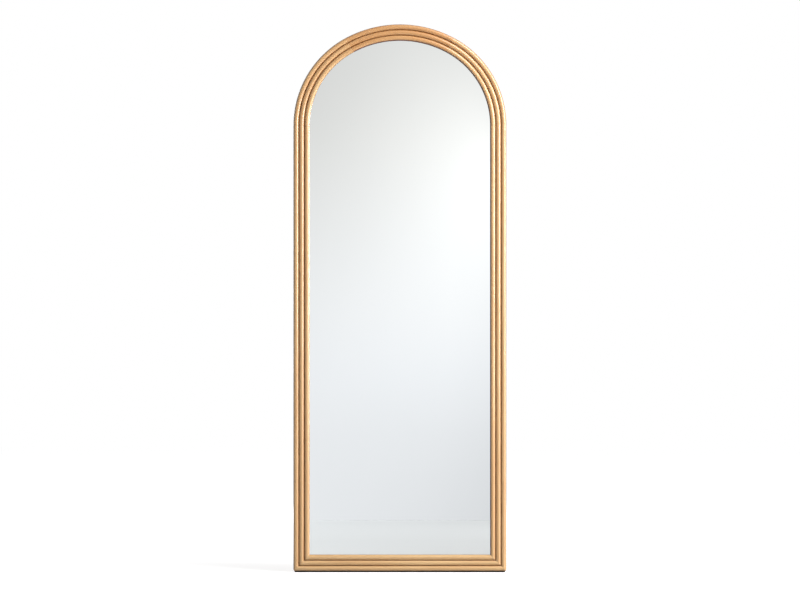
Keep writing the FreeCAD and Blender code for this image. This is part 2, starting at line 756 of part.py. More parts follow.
pieces = build()
doc.recompute()
check(pieces)
os.makedirs("parts", exist_ok=True)
for piece in pieces:
    piece.Shape.exportStep(f"parts/{piece.Label}.step")
    box_of = piece.Shape.BoundBox
    print(f"{piece.Label}: {len(piece.Shape.Solids)} solid(s), {piece.Shape.Volume / 1000:.2f} cm3,",
          f"X {box_of.XMin:.1f} to {box_of.XMax:.1f}, Y {box_of.YMin:.1f} to {box_of.YMax:.1f},",
          f"Z {box_of.ZMin:.1f} to {box_of.ZMax:.1f}")
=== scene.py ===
"""Arched leaning floor mirror: the finish of each piece and the studio that it stands in.

X runs across the mirror, Y from the front to the back and Z up, in metres, with the origin on the floor.
A place on the moulding is given by how far it lies inward from the outer edge, and how far behind the crests
of the reeds.
"""
import math

import bpy
import numpy as np
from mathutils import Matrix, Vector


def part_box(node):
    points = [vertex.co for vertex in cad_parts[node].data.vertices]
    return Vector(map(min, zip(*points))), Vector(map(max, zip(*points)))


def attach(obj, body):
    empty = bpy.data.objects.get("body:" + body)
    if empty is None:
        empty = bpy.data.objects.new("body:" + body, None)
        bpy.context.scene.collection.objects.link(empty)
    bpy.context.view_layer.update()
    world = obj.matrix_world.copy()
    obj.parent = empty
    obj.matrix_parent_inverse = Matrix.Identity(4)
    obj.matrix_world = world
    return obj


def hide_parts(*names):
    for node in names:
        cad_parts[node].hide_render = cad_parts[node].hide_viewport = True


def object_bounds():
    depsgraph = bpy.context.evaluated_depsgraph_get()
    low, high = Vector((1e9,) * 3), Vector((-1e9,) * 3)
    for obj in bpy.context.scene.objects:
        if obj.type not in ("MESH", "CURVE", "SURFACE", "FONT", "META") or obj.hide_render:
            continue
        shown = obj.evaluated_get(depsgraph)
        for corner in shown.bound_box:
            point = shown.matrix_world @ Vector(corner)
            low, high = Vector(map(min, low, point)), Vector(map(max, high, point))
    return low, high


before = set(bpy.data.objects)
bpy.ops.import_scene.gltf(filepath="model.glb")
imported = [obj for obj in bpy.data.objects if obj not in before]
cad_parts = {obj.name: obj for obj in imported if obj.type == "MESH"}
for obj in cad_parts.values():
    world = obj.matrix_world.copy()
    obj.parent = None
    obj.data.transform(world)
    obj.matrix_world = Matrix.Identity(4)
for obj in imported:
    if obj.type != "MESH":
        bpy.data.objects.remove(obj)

bl_info = {
    "name": "Arched Floor Mirror",
    "version": (1, 0, 0),
    "blender": (4, 5, 0),
    "location": "3D View > Sidebar > Mirror",
    "description": "Makes the reeded frame, the pane, the back and the hangers of an arched floor mirror",
    "category": "Object",
}

CAD_LOW, CAD_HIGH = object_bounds()
SIDES = {"left": -1.0, "right": 1.0}
BODY = "mirror"
SHARP_EDGE = math.radians(30)

WHITE = (1.0, 1.0, 1.0)
FLOOR_REACH = 12.0
CARD_SIDE, CARD_TOP = 2.0, 3.6
# the card and the floor before it turn white between these distances from the middle
WHITE_FROM, WHITE_AT = 0.6, 1.8
LAMP_TARGET = (0.0, 0.0, 0.95)
# place and size of each softbox, and the setting that holds its power
LAMPS = {
    "Key": ((3.73, -2.42, 2.1), (1.4, 3.0), "key_power"),
    "Top": ((2.05, -2.44, 4.13), (1.4, 1.4), "top_power"),
    "Rear": ((-1.5, 4.5, 1.4), (1.8, 1.8), "rear_power"),
}


def linear(code):
    """Turn an sRGB hex colour into linear red, green and blue."""
    channels = np.array([int(code[i:i + 2], 16) for i in (1, 3, 5)]) / 255
    return tuple(np.where(channels <= 0.04045, channels / 12.92, ((channels + 0.055) / 1.055) ** 2.4))


def length(name, default, description):
    """A size in metres that the user can change."""
    return bpy.props.FloatProperty(name=name, description=description, default=default, min=0.0,
                                   precision=4, unit="LENGTH", subtype="DISTANCE")


def colour(name, code, description):
    """A colour that the user can change, given as sRGB hex."""
    return bpy.props.FloatVectorProperty(name=name, description=description, default=linear(code), size=3,
                                         min=0.0, max=1.0, subtype="COLOR")


class MouldingSizes(bpy.types.PropertyGroup):
    """Sizes of the frame and of its moulding."""

    width: length("Width", CAD_HIGH.x - CAD_LOW.x, "Overall width of the mirror")
    height: length("Height", CAD_HIGH.z - CAD_LOW.z, "Overall height of the mirror")
    front: bpy.props.FloatProperty(name="Front", description="Plane of the reeds' crests, along Y",
                                   default=CAD_LOW.y, precision=4, unit="LENGTH", subtype="DISTANCE")
    depth: length("Depth", 0.032, "Crests of the reeds to the back of the wood")
    base: length("Base", 0.004, "Floor to the wood, above the rubber strip")
    haunch_radius: length("Haunch radius", 0.331, "Outer radius of the arch next to the stiles")
    haunch_angle: bpy.props.FloatProperty(name="Haunch angle", description="Where the crown takes over",
                                          default=math.radians(62), unit="ROTATION", subtype="ANGLE")
    reeds: bpy.props.IntProperty(name="Reeds", description="Round reeds side by side", default=3, min=1)
    reed_pitch: length("Reed pitch", 0.018, "Groove to groove")
    groove_depth: length("Groove depth", 0.0065, "Crests of the reeds to the bottoms of the grooves")
    seat_depth: length("Seat depth", 0.015, "Crests of the reeds to the face that the pane seats on")
    lip_width: length("Lip width", 0.009, "How far the lip reaches over the pane's rebate")
    ledge_width: length("Ledge width", 0.022, "Sight edge to the outer wall of the board's rebate")
    ledge_depth: length("Ledge depth", 0.0205, "Crests of the reeds to the ledge that the board lies on")
    corner_radius: length("Corner radius", 0.006, "Rounding of the two lower outer corners")
    arris: length("Arris", 0.001, "Sanded rounding of the two rear edges")
    # painted shade: how far the darkening at the outer edge runs round onto the outer wall
    edge_shade_reach: length("Edge shade reach", 0.003, "How far the pooled stain runs round the outer edge")


class RubberSizes(bpy.types.PropertyGroup):
    """Sizes of the rubber strip and of the bumpers."""

    strip_corner: length("Strip corner", 0.005, "Rounding of the strip's ends, seen from above")
    strip_hem: length("Strip hem", 0.0008, "Rounding of the strip's long edges")
    strip_groove: length("Strip groove", 0.0012, "Depth of the grooves in the strip's underside")
    strip_grooves: bpy.props.IntProperty(name="Strip grooves", description="Grooves side by side",
                                         default=4, min=0)
    bumper_face: length("Bumper face", 0.007, "Radius of a bumper's face")
    bumper_rim: length("Bumper rim", 0.0014, "Rounding of the edge of a bumper's face")
    bumper_dish: length("Bumper dish", 0.0045, "Radius of the dish in a bumper's face")
    bumper_dish_depth: length("Bumper dish depth", 0.0008, "Depth of the dish in a bumper's face")


class WoodFinish(bpy.types.PropertyGroup):
    """Colours and grain of the lacquered wood."""

    pale: colour("Pale wood", "#DAB581", "Early wood between the growth lines")
    honey: colour("Honey wood", "#BC864E", "Late wood in the growth lines")
    # this colour tints pores, flecks and joints, and also paints shade into the grooves, the outer edge and the
    # flank beside the pane
    stain: colour("Stain and painted shade", "#8A4E17", "Stain that gathered in the grooves")
    line_width: length("Line width", 0.005, "Distance between growth lines")
    line_length: length("Line length", 0.30, "How far a streak runs along the grain")
    joint_width: length("Joint width", 0.0004, "How far the stain that crept into a joint shows beside it")


class StudioSettings(bpy.types.PropertyGroup):
    """Camera and light."""

    camera_distance: length("Camera distance", 14.85, "Camera to the middle of the mirror's depth")
    camera_height: length("Camera height", 0.9088, "Floor to the camera, which looks level")
    camera_side: length("Camera side", 0.0004, "Camera to the right of the mirror's middle")
    focal_length: bpy.props.FloatProperty(name="Focal length", description="Focal length of the lens, in mm",
                                          default=200.0, unit="CAMERA")
    key_power: bpy.props.FloatProperty(name="Key power", description="Power of the tall softbox on the right",
                                       default=285.0, min=0.0, unit="POWER")
    rear_power: bpy.props.FloatProperty(name="Rear power", description="Power of the softbox behind the mirror",
                                        default=110.0, min=0.0, unit="POWER")
    top_power: bpy.props.FloatProperty(name="Top power", description="Power of the softbox high on the right",
                                       default=112.0, min=0.0, unit="POWER")
    front_fill: bpy.props.FloatProperty(name="Front fill", description="Level of the soft light from the front",
                                        default=0.04, min=0.0, subtype="FACTOR")
    rear_fill: bpy.props.FloatProperty(name="Rear fill", description="Level of the soft light from behind",
                                       default=0.35, min=0.0, subtype="FACTOR")
    card_distance: length("Card distance", 3.5, "Mirror to the paper card that it reflects")


GROUPS = {"mirror_moulding": MouldingSizes, "mirror_rubber": RubberSizes, "mirror_wood": WoodFinish,
          "mirror_studio": StudioSettings}


# Meshes.

def put(name, points, faces, material, attributes=None):
    """Make an object of a mesh that is already in place, with faces outward and smooth but for its sharp edges.

    Each attribute holds one number or one vector for every point, for the materials to read.
    """
    mesh = bpy.data.meshes.new(name)
    mesh.from_pydata(points, [], faces)
    mesh.validate()
    mesh.shade_smooth()
    mesh.set_sharp_from_angle(angle=SHARP_EDGE)
    for label, values in (attributes or {}).items():
        kind, field = ("FLOAT", "value") if values.ndim == 1 else ("FLOAT_VECTOR", "vector")
        mesh.attributes.new(label, kind, "POINT").data.foreach_set(field, values.astype(np.float32).ravel())
    mesh.materials.append(material)
    piece = bpy.data.objects.new(name, mesh)
    bpy.context.scene.collection.objects.link(piece)
    return piece


def loft_faces(along, across):
    """Quads between closed rings of points, and a flat face on the first and on the last ring.

    Ring i holds points i * across to (i + 1) * across - 1. The quad at (i, j) joins points j and j + 1 of
    ring i to the same two of ring i + 1, counting round.
    """
    i, j = np.meshgrid(np.arange(along - 1), np.arange(across), indexing="ij")
    k = (j + 1) % across
    quads = np.stack([i * across + j, i * across + k, (i + 1) * across + k, (i + 1) * across + j], axis=-1)
    first = list(range(across - 1, -1, -1))
    last = list(range((along - 1) * across, along * across))
    return quads.reshape(-1, 4).tolist() + [first, last]


def outward(points, faces):
    """Turn the faces over if they enclose a negative volume.

    The volume is the sum over the faces of corner 0 . (corner 1 x corner 2) / 6, fanned out from corner 0.
    """
    volume = 0.0
    for face in faces[-2:]:
        ring = points[face]
        volume += np.sum(np.cross(ring[1:-1], ring[2:]) @ ring[0])
    quads = points[np.array(faces[:-2])]
    for second in (1, 2):
        volume += np.einsum("ij,ij->", quads[:, 0], np.cross(quads[:, second], quads[:, second + 1]))
    return faces if volume > 0 else [face[::-1] for face in faces]


def loft(name, rings, material, attributes=None):
    """Closed body through an array of rings, shaped (rings, points of a ring, 3)."""
    points = rings.reshape(-1, 3)
    faces = outward(points, loft_faces(*rings.shape[:2]))
    return put(name, points, faces, material, attributes)


def rounded(corners, steps=4):
    """Polyline through corners (x, y, radius), each turned by an arc of its radius.

    An arc starts radius * tan(turn / 2) before its corner, and bends evenly from the first side to the second.
    """
    corners = np.asarray(corners, float)
    line = []
    for before, (x, y, radius), after in zip(np.roll(corners, 1, 0), corners, np.roll(corners, -1, 0)):
        corner = np.array([x, y])
        into = (corner - before[:2]) / np.linalg.norm(corner - before[:2])
        out = (after[:2] - corner) / np.linalg.norm(after[:2] - corner)
        if radius == 0:
            line.append(corner[None])
            continue
        turn = math.atan2(into[0] * out[1] - into[1] * out[0], into @ out)
        bend = np.linspace(0, turn, steps + 1)[:, None]
        normal = np.array([-into[1], into[0]]) * np.sign(turn)
        start = corner - into * radius * math.tan(abs(turn) / 2)
        centre = start + normal * radius
        line.append(centre + radius * (into * np.sin(np.abs(bend)) - normal * np.cos(bend)))
    return np.vstack(line)


# Frame.

def moulding_section(sizes, reed_steps=28):
    """Section of the moulding as (inward, behind), and how dark the stain colour makes each point of it.

    The darkening is given as two shares: that of the grooves and the outer edge, from 0 to 1 as they get
    deeper, which is partly pooled stain and partly painted shade, and that of the flank beside the pane, which
    is painted shade.

    A reed is the arc of radius R = (groove^2 + (pitch / 2)^2) / (2 groove) whose crest lies at behind = 0:
    inward = middle + R sin t, behind = R - R cos t. The rebates and the back follow as straight sides.
    """
    groove, pitch = sizes.groove_depth, sizes.reed_pitch
    radius = (groove ** 2 + (pitch / 2) ** 2) / (2 * groove)
    limit = math.asin(pitch / 2 / radius)
    swing = np.linspace(-limit, limit, reed_steps + 1)[:-1]
    middles = (np.arange(sizes.reeds) + 0.5)[:, None] * pitch
    inward = (middles + radius * np.sin(swing)).ravel()
    behind = np.tile(radius - radius * np.cos(swing), sizes.reeds)
    face = sizes.reeds * pitch
    pane_wall, board_wall = face - sizes.lip_width, face - sizes.ledge_width
    hem = sizes.arris
    rebates = rounded([
        (face, groove, 0), (face, sizes.seat_depth, 0), (pane_wall, sizes.seat_depth, 0),
        (pane_wall, sizes.ledge_depth, 0), (board_wall, sizes.ledge_depth, 0),
        (board_wall, sizes.depth, hem), (0, sizes.depth, hem), (0, groove + sizes.edge_shade_reach, 0),
    ])
    section = np.vstack([np.column_stack([inward, behind]), rebates])
    share = behind / groove
    beside_pane = inward > face - pitch / 2
    rest = np.zeros(len(rebates) - 2)
    # partly pooled stain and partly painted shade in the grooves and at the outer edge; painted shade beside
    # the pane
    groove_stain_and_shade = np.concatenate([np.where(beside_pane, 0.0, share), [0.0, 0.0], rest])
    painted_pane_shade = np.concatenate([np.where(beside_pane, share, 0.0), [1.0, 1.0], rest])
    return section, groove_stain_and_shade, painted_pane_shade


def mitre_rise(sizes, inward):
    """How far from the end of a mitred member each line of the moulding starts.

    It equals how far inward the line lies, but near the outer edge it follows the rounded corner,
    radius - sqrt(radius^2 - (radius - inward)^2).
    """
    radius = sizes.corner_radius
    near = np.clip(radius - inward, 0, radius)
    return np.maximum(inward, radius - np.sqrt(radius ** 2 - near ** 2))


def arch_centres(sizes):
    """Offset of the haunches' centres, the crown's outer radius, the crown's centre and the spring line."""
    offset = sizes.width / 2 - sizes.haunch_radius
    crown_radius = sizes.haunch_radius + offset / math.cos(sizes.haunch_angle)
    crown_centre = sizes.height - crown_radius
    return offset, crown_radius, crown_centre, crown_centre + offset * math.tan(sizes.haunch_angle)


def straight_member(sizes, section, steps=40):
    """Rings of a stile, and how far along it each point lies.

    Each line of the moulding runs from its mitre up to the spring line.
    """
    inward, behind = section.T
    spring = arch_centres(sizes)[3]
    start = sizes.base + mitre_rise(sizes, inward)
    share = np.linspace(0, 1, steps + 1)[:, None]
    z = start + (spring - start) * share
    x = np.broadcast_to(sizes.width / 2 - inward, z.shape)
    y = np.broadcast_to(sizes.front + behind, z.shape)
    return np.stack([x, y, z], axis=-1), z


def rail_member(sizes, section, steps=24):
    """Rings of the bottom rail, and how far along it each point lies.

    Each line of the moulding runs from mitre to mitre.
    """
    inward, behind = section.T
    reach = sizes.width / 2 - mitre_rise(sizes, inward)
    x = reach * np.linspace(-1, 1, steps + 1)[:, None]
    y = np.broadcast_to(sizes.front + behind, x.shape)
    z = np.broadcast_to(sizes.base + inward, x.shape)
    return np.stack([x, y, z], axis=-1), x


def curved_member(sizes, section, centre, radius, start, finish, step=math.radians(0.5)):
    """Rings of an arched member, and how far along it each point lies: radius * angle.

    The section turns about (x, z) = centre from one angle to another, measured up from +X. A line of the
    moulding has the radius outer radius - inward.
    """
    inward, behind = section.T
    angle = np.linspace(start, finish, round((finish - start) / step) + 1)[:, None]
    x = centre[0] + (radius - inward) * np.cos(angle)
    z = centre[1] + (radius - inward) * np.sin(angle)
    y = np.broadcast_to(sizes.front + behind, x.shape)
    return np.stack([x, y, z], axis=-1), np.broadcast_to(radius * angle, x.shape)


# Rubber.

def turned(profile, centre, steps=48):
    """Rings of a shape turned about Y: radius * cos and radius * sin of the angle, at its height on Y."""
    radius, height = (part[:, None] for part in profile.T)
    angle = np.linspace(0, 2 * math.pi, steps, endpoint=False)
    x = centre[0] + radius * np.cos(angle)
    z = centre[2] + radius * np.sin(angle)
    y = np.broadcast_to(centre[1] + height, x.shape)
    return np.stack([x, y, z], axis=-1)


def bumper_profile(sizes, base_radius, height):
    """Profile (radius, height) of a bumper: a tapered wall, a rounded rim, and a face dished in the middle.

    The rim is a quarter circle. The dish is dish_depth * cos(pi / 2 * radius / dish radius) ^ 2 deep.
    """
    rim, face = sizes.bumper_rim, sizes.bumper_face
    wall = np.column_stack([np.linspace(base_radius, face, 5), np.linspace(0, height - rim, 5)])
    turn = np.linspace(0, math.pi / 2, 7)[1:]
    corner = np.column_stack([face - rim + rim * np.cos(turn), height - rim + rim * np.sin(turn)])
    radius = np.linspace(face - rim, 0.0002, 12)[1:]
    share = np.clip(radius / sizes.bumper_dish, 0, 1)
    dish = height - sizes.bumper_dish_depth * np.cos(math.pi / 2 * share) ** 2
    return np.vstack([wall, corner, np.column_stack([radius, dish])])


def strip_rings(sizes, low, high, steps=8):
    """Rings of the floor strip along X, with rounded edges and grooves that run the length of its underside.

    Near an end the section narrows by radius - sqrt(radius^2 - (radius - d)^2), where d is the distance to
    the end.
    """
    hem, groove, count = sizes.strip_hem, sizes.strip_groove, sizes.strip_grooves
    near, far = low[1], high[1]
    places = np.linspace(near, far, count + 2)[1:-1]
    corners = [(near, high[2], hem), (near, low[2], hem)]
    for place in places:
        corners += [(place - groove, low[2], 0), (place - groove / 2, low[2] + groove, 0),
                    (place + groove / 2, low[2] + groove, 0), (place + groove, low[2], 0)]
    corners += [(far, low[2], hem), (far, high[2], hem)]
    section = rounded(corners)
    radius = sizes.strip_corner
    inset = radius * (1 - np.cos(np.linspace(0, math.pi / 2, steps)))
    x = np.concatenate([low[0] + inset, high[0] - inset[::-1]])[:, None]
    cut = radius - np.sqrt(radius ** 2 - (radius - np.minimum(x - low[0], high[0] - x).clip(0, radius)) ** 2)
    middle, half = (near + far) / 2, (far - near) / 2
    y = middle + (section[:, 0] - middle) * (half - cut) / half
    return np.stack(np.broadcast_arrays(x, y, section[:, 1]), axis=-1)


# Materials.
#
# Sockets without a name are given by number. MapRange: 0 is the value, 1 and 2 its range, 3 and 4 the range
# that it is stretched to, held at both ends. Mix: 0 is the share, 6 and 7 the colours.

def add(tree, kind, inputs=None, **settings):
    """Add a node, set it up, and set or link its sockets.

    A node given as an input stands for its first live output.
    """
    node = tree.nodes.new(f"ShaderNode{kind}")
    for key, setting in settings.items():
        setattr(node, key, setting)
    for name, source in (inputs or {}).items():
        socket = node.inputs[name]
        if isinstance(source, bpy.types.Node):
            source = next(output for output in source.outputs if output.enabled)
        if isinstance(source, bpy.types.NodeSocket):
            tree.links.new(source, socket)
        elif socket.type == "RGBA":
            socket.default_value = (*source, 1.0)
        else:
            socket.default_value = source
    return node


def new_material(name):
    """An empty material and its nodes."""
    material = bpy.data.materials.new(name)
    material.use_nodes = True
    material.node_tree.nodes.clear()
    return material, material.node_tree


def surfaced(material, inputs):
    """End a material in a surface with these inputs."""
    tree = material.node_tree
    add(tree, "OutputMaterial", {"Surface": add(tree, "BsdfPrincipled", inputs)})
    return material


def clouds(tree, place, size, detail=2.0, roughness=0.5, distortion=0.0):
    """Soft noise with clouds of this real size along X, Y and Z, in metres."""
    steps = add(tree, "Mapping", {"Vector": place, "Scale": size}, vector_type="TEXTURE")
    return add(tree, "TexNoise", {"Vector": steps, "Scale": 1.0, "Detail": detail, "Roughness": roughness,
                                  "Distortion": distortion})


def tinted(tree, colour, toward, pattern, low=0.0, high=1.0, least=0.0, most=1.0, blend="MIX"):
    """Lean a colour towards another, from the least share to the most as a pattern runs from low to high."""
    share = add(tree, "MapRange", {0: pattern, 1: low, 2: high, 3: least, 4: most})
    return add(tree, "Mix", {0: share, 6: colour, 7: toward}, data_type="RGBA", blend_type=blend)


def lacquered_wood(name, finish, board, tone):
    """Beech, planed to reeds, bent where it is arched, stained honey and lacquered satin.

    The wood gives long faint growth lines along the member and short flecks. The lacquer gives a clear sheen
    over them. The stain colour darkens the joints, where stain crept in, and the grooves and the outer edge,
    partly as pooled stain and partly as painted shade, and the flank beside the pane as painted shade. The
    grain
    follows the member: "grain" holds how far inward, behind and along a point lies. board shifts it so that no
    two members match, and tone is how far the member leans to the honey colour; it is painted shade and light,
    darker at the crown and paler at the bottom rail.
    """
    material, tree = new_material(name)
    place = add(tree, "Attribute", attribute_name="grain").outputs["Vector"]
    hollow = add(tree, "Attribute", attribute_name="hollow").outputs["Fac"]
    to_joint = add(tree, "Attribute", attribute_name="to_joint").outputs["Fac"]
    along = add(tree, "Mapping", {"Vector": place, "Location": (0.37 * board, 0.13 * board, 0.71 * board)})
    width, run = finish.line_width, finish.line_length
    drift = clouds(tree, along, (0.12, 0.12, 0.5), detail=1.0)
    lines = clouds(tree, along, (width, width, run), detail=3.0, roughness=0.6)
    # pores are under 0.1 mm across; they are drawn 0.8 mm wide so that they show
    pores = clouds(tree, along, (0.0008, 0.0008, 0.05))
    flecks = clouds(tree, along, (0.0006, 0.002, 0.004), detail=1.0)
    colour = tinted(tree, finish.pale, finish.honey, lines, 0.3, 0.7, tone - 0.3, tone + 0.3)
    colour = tinted(tree, colour, finish.stain, pores, 0.45, 0.75, most=0.10)
    colour = tinted(tree, colour, finish.stain, flecks, 0.62, 0.72, most=0.10)
    colour = tinted(tree, colour, finish.honey, drift, 0.35, 0.7, most=0.25)
    # pooled stain and painted shade: the stain colour multiplied into the grooves, the outer edge and the flank
    # beside the pane
    colour = tinted(tree, colour, finish.stain, hollow, 0.35, 1.0, blend="MULTIPLY")
    colour = tinted(tree, colour, finish.stain, to_joint, 0.0, finish.joint_width, 0.8, 0.0, "MULTIPLY")
    return surfaced(material, {
        "Base Color": colour,
        "Roughness": add(tree, "MapRange", {0: pores, 1: 0.3, 2: 0.7, 3: 0.36, 4: 0.46}),
        "IOR": 1.5, "Specular IOR Level": 0.5, "Coat Weight": 1.0, "Coat Roughness": 0.25,
        "Normal": add(tree, "Bump", {"Height": pores, "Distance": 0.00003, "Strength": 0.2}),
    })


def plain_wood(name, grain_angle):
    """Raw beech, planed: dull and pale, with fibres but no lacquer."""
    material, tree = new_material(name)
    place = add(tree, "TexCoord").outputs["Object"]
    along = add(tree, "Mapping", {"Vector": place, "Rotation": (0.0, grain_angle, 0.0)}, vector_type="TEXTURE")
    fibres = clouds(tree, along, (0.0008, 0.0008, 0.02), detail=3.0)
    return surfaced(material, {
        "Base Color": tinted(tree, linear("#DDBF96"), linear("#C79E6C"), fibres, 0.3, 0.7),
        "Roughness": 0.7,
        "Normal": add(tree, "Bump", {"Height": fibres, "Distance": 0.0001}),
    })


def silvered_glass():
    """Float glass, silvered and painted grey on its back.

    The front gives a clear cold reflection with the faintest wiping haze. The painted back is dull, and is told
    from the silver by how far back it lies.
    """
    material, tree = new_material("Silvered float glass")
    place = add(tree, "TexCoord").outputs["Object"]
    depth = add(tree, "SeparateXYZ", {0: place}).outputs["Y"]
    back, paint_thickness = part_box("mirror_pane")[1].y, 0.0003
    painted = add(tree, "MapRange", {0: depth, 1: back - paint_thickness, 2: back - paint_thickness / 2})
    haze = clouds(tree, place, (0.25, 0.25, 0.4), detail=4.0, roughness=0.6)
    paint = clouds(tree, place, (0.002, 0.002, 0.002))
    silver = tinted(tree, linear("#F3F6F6"), linear("#F7F9F9"), haze)
    grey = tinted(tree, linear("#6E7270"), linear("#7C807D"), paint)
    wiped = add(tree, "MapRange", {0: haze, 1: 0.3, 2: 0.7, 4: 0.012})
    return surfaced(material, {
        "Base Color": tinted(tree, silver, grey, painted),
        "Metallic": add(tree, "MapRange", {0: painted, 3: 1.0, 4: 0.0}),
        "Roughness": add(tree, "Math", {0: painted, 1: 0.6, 2: wiped}, operation="MULTIPLY_ADD"),
    })


def fibreboard():
    """Hardboard, pressed: flat brown with short matted fibres, smooth but dull."""
    material, tree = new_material("Pressed fibreboard")
    place = add(tree, "TexCoord").outputs["Object"]
    # fibres are about 0.1 mm thick; they are drawn 0.7 mm wide so that they show
    upright = clouds(tree, place, (0.0007, 0.001, 0.006), distortion=1.5)
    level = clouds(tree, place, (0.006, 0.001, 0.0007), distortion=1.5)
    patches = clouds(tree, place, (0.15, 0.15, 0.15), detail=3.0)
    colour = tinted(tree, linear("#8A6646"), linear("#A17C58"), level)
    colour = tinted(tree, colour, linear("#6C4D33"), upright, 0.5, 0.75, most=0.6)
    colour = tinted(tree, colour, linear("#7A583A"), patches, 0.35, 0.65, most=0.3)
    return surfaced(material, {
        "Base Color": colour,
        "Roughness": add(tree, "MapRange", {0: level, 1: 0.3, 2: 0.7, 3: 0.55, 4: 0.72}),
        "Normal": add(tree, "Bump", {"Height": upright, "Distance": 0.0001, "Strength": 0.6}),
    })


def zinc_steel():
    """Mild steel, bright zinc plated: silvery with a faint blotchy bloom and drawn scratches."""
    material, tree = new_material("Zinc plated steel")
    place = add(tree, "TexCoord").outputs["Object"]
    bloom = clouds(tree, place, (0.004, 0.004, 0.004), detail=3.0)
    # scratches are a few hundredths of a millimetre wide; they are drawn 0.3 mm wide so that they show
    scratches = clouds(tree, place, (0.0003, 0.0003, 0.008))
    return surfaced(material, {
        "Base Color": tinted(tree, linear("#B6B8B9"), linear("#A1A39F"), bloom),
        "Metallic": 1.0,
        "Roughness": add(tree, "MapRange", {0: scratches, 1: 0.3, 2: 0.7, 3: 0.38, 4: 0.54}),
        "Normal": add(tree, "Bump", {"Height": scratches, "Distance": 0.00002, "Strength": 0.5}),
    })


def moulded_rubber():
    """Rubber, moulded: brown black and matt, with a dusty bloom."""
    material, tree = new_material("Moulded rubber")
    place = add(tree, "TexCoord").outputs["Object"]
    grit = clouds(tree, place, (0.0005, 0.0005, 0.0005), detail=3.0)
    bloom = clouds(tree, place, (0.02, 0.02, 0.02))
    return surfaced(material, {
        "Base Color": tinted(tree, linear("#16100D"), linear("#241C17"), bloom, 0.4, 0.7, most=0.5),
        "Roughness": add(tree, "MapRange", {0: grit, 1: 0.3, 2: 0.7, 3: 0.6, 4: 0.8}),
        "Specular IOR Level": 0.2,
        "Normal": add(tree, "Bump", {"Height": grit, "Distance": 0.00008, "Strength": 0.6}),
    })


def foam_tape():
    """Polyethylene foam, skinned: off-white with fine closed cells."""
    material, tree = new_material("Closed cell foam")
    place = add(tree, "TexCoord").outputs["Object"]
    steps = add(tree, "Mapping", {"Vector": place, "Scale": (0.0006, 0.0006, 0.0006)}, vector_type="TEXTURE")
    cells = add(tree, "TexVoronoi", {"Vector": steps, "Scale": 1.0}).outputs["Distance"]
    return surfaced(material, {
        "Base Color": tinted(tree, linear("#D9D6CC"), linear("#F1EFE8"), cells),
        "Roughness": 0.8,
        "Normal": add(tree, "Bump", {"Height": cells, "Distance": 0.0002, "Strength": 0.5}),
    })


# Operators.

def finish_piece(piece, slot, *nodes):
    """Let a new piece ride on the mirror and stand for these nodes."""
    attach(piece, BODY)
    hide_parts(*nodes)


def cover(material, *nodes):
    """Give carried-over nodes their material."""
    for node in nodes:
        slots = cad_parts[node].material_slots
        if not slots:
            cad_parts[node].data.materials.append(material)
        for slot in slots:
            slot.material = material


class MIRROR_OT_reeded_frame(bpy.types.Operator):
    """Make the stiles, the bottom rail, the haunches and the crown"""

    bl_idname = "mirror.reeded_frame"
    bl_label = "Reeded frame"

    def execute(self, context):
        sizes, finish = context.scene.mirror_moulding, context.scene.mirror_wood
        section, groove_stain_and_shade, painted_pane_shade = moulding_section(sizes)
        offset, crown_radius, crown_centre, spring = arch_centres(sizes)
        angle = sizes.haunch_angle
        arched = curved_member(sizes, section, (offset, spring), sizes.haunch_radius, 0.0, angle)
        stile = straight_member(sizes, section)
        # tone: the crown is made darker and the rail paler, which is painted shade and painted light; the last
        # number paints shade on the flank beside the pane, strong at the crown, none on the rail
        members = {
            "bottom_rail": (*rail_member(sizes, section), 0.2, 0.0),
            "crown": (*curved_member(sizes, section, (0.0, crown_centre), crown_radius, angle, math.pi - angle),
                      0.9, 1.6),
        }
        # painted shade beside the pane: strong on the right, whose flank faces away from the key light, weak on
        # the left
        pane_shade_by_side = {"left": 0.5, "right": 1.6}
        for name, side in SIDES.items():
            across = np.array([side, 1.0, 1.0])
            members[f"stile_{name}"] = (stile[0] * across, stile[1], 0.45, pane_shade_by_side[name])
            members[f"haunch_{name}"] = (arched[0] * across, arched[1], 0.55, pane_shade_by_side[name])
        for board, (node, (rings, along, tone, pane_shade)) in enumerate(members.items()):
            inward, behind = (np.broadcast_to(part, along.shape) for part in section.T)
            to_joint = np.minimum(along - along.min(axis=0), along.max(axis=0) - along)
            attributes = {"hollow": np.tile(groove_stain_and_shade + pane_shade * painted_pane_shade, len(rings)),
                          "to_joint": to_joint.ravel(),
                          "grain": np.stack([inward, behind, along], axis=-1).reshape(-1, 3)}
            material = lacquered_wood(f"Lacquered beech {node}", finish, board, tone)
            piece = loft(f"{node}_wood", rings, material, attributes)
            finish_piece(piece, "frame_wood", node)
        return {"FINISHED"}


class MIRROR_OT_pane(bpy.types.Operator):
    """Silver the pane"""

    bl_idname = "mirror.pane"
    bl_label = "Mirror pane"

    def execute(self, context):
        cover(silvered_glass(), "mirror_pane")
        return {"FINISHED"}


class MIRROR_OT_back(bpy.types.Operator):
    """Finish the backing board and the pieces between it and the pane"""

    bl_idname = "mirror.back"
    bl_label = "Back"

    def execute(self, context):
        cover(fibreboard(), "backing_board")
        cover(foam_tape(), "mounting_tape_1", "mounting_tape_2", "mounting_tape_3")
        return {"FINISHED"}


